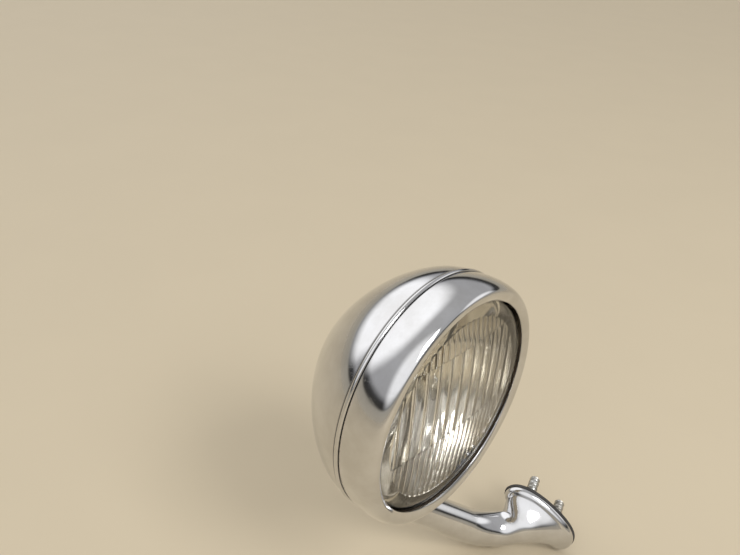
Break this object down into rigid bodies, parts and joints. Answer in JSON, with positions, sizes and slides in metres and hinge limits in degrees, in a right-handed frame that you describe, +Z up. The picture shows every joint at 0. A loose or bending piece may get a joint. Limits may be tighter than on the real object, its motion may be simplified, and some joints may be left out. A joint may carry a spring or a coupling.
{
  "type": "cowl lamp of a vintage car",
  "caption": "Small chromed side lamp of a vintage car, with a fluted domed lens and rolled rim, on a curved tapering arm whose leaf-shaped foot bolts to the body.",
  "frame": {"origin": "on the body panel, under the middle of the foot, midway between its two studs", "axes": "+X forward along the body, +Y into the body, the way the foot's studs point, +Z up; the lamp itself looks along (0.951, -0.309, 0)"},
  "size_m": [0.1304, 0.1507, 0.1876],
  "materials": {
    "chrome_casting": "polished chrome plate on a casting",
    "chrome_shell": "polished chrome plate on spun brass",
    "chrome_rim": "polished chrome plate on pressed brass",
    "silvered_reflector": "silvered",
    "lens_glass": "clear pressed glass",
    "bulb_glass": "clear blown glass",
    "brass_socket": "dull brass",
    "brass_cap": "bright brass",
    "zinc_steel": "zinc plated",
    "spring_steel": "dull spring steel",
    "black_rubber": "matt",
    "cork_gasket": "matt"
  },
  "bodies": {
    "arm": {"arm": "chrome_casting", "foot_pad": "black_rubber", "wire_grommet": "black_rubber", "foot_stud_1": "zinc_steel", "foot_stud_2": "zinc_steel", "pivot_stud": "zinc_steel", "pivot_washer": "zinc_steel", "pivot_nut": "zinc_steel"},
    "head": {"shell": "chrome_shell", "saddle": "chrome_casting", "inner_saddle": "zinc_steel", "reflector": "silvered_reflector", "bulb_socket": "brass_socket", "bulb_cap": "brass_cap", "bulb_glass": "bulb_glass"},
    "rim": {"rim": "chrome_rim", "lens": "lens_glass", "lens_gasket": "cork_gasket", "lens_clip_1": "spring_steel", "lens_clip_2": "spring_steel", "lens_clip_3": "spring_steel", "lens_clip_4": "spring_steel"}
  },
  "joints": [
    {"name": "lamp_swivel", "type": "hinge", "parent": "arm", "child": "head", "pos_m": [-0.08148, -0.06227, 0.06312], "axis": [0, 0, 1], "range_deg": [-15, 15]},
    {"name": "rim_pull", "type": "slide", "parent": "head", "child": "rim", "axis": [0.9511, -0.309, 0], "range_m": [0, 0.06]}
  ]
}
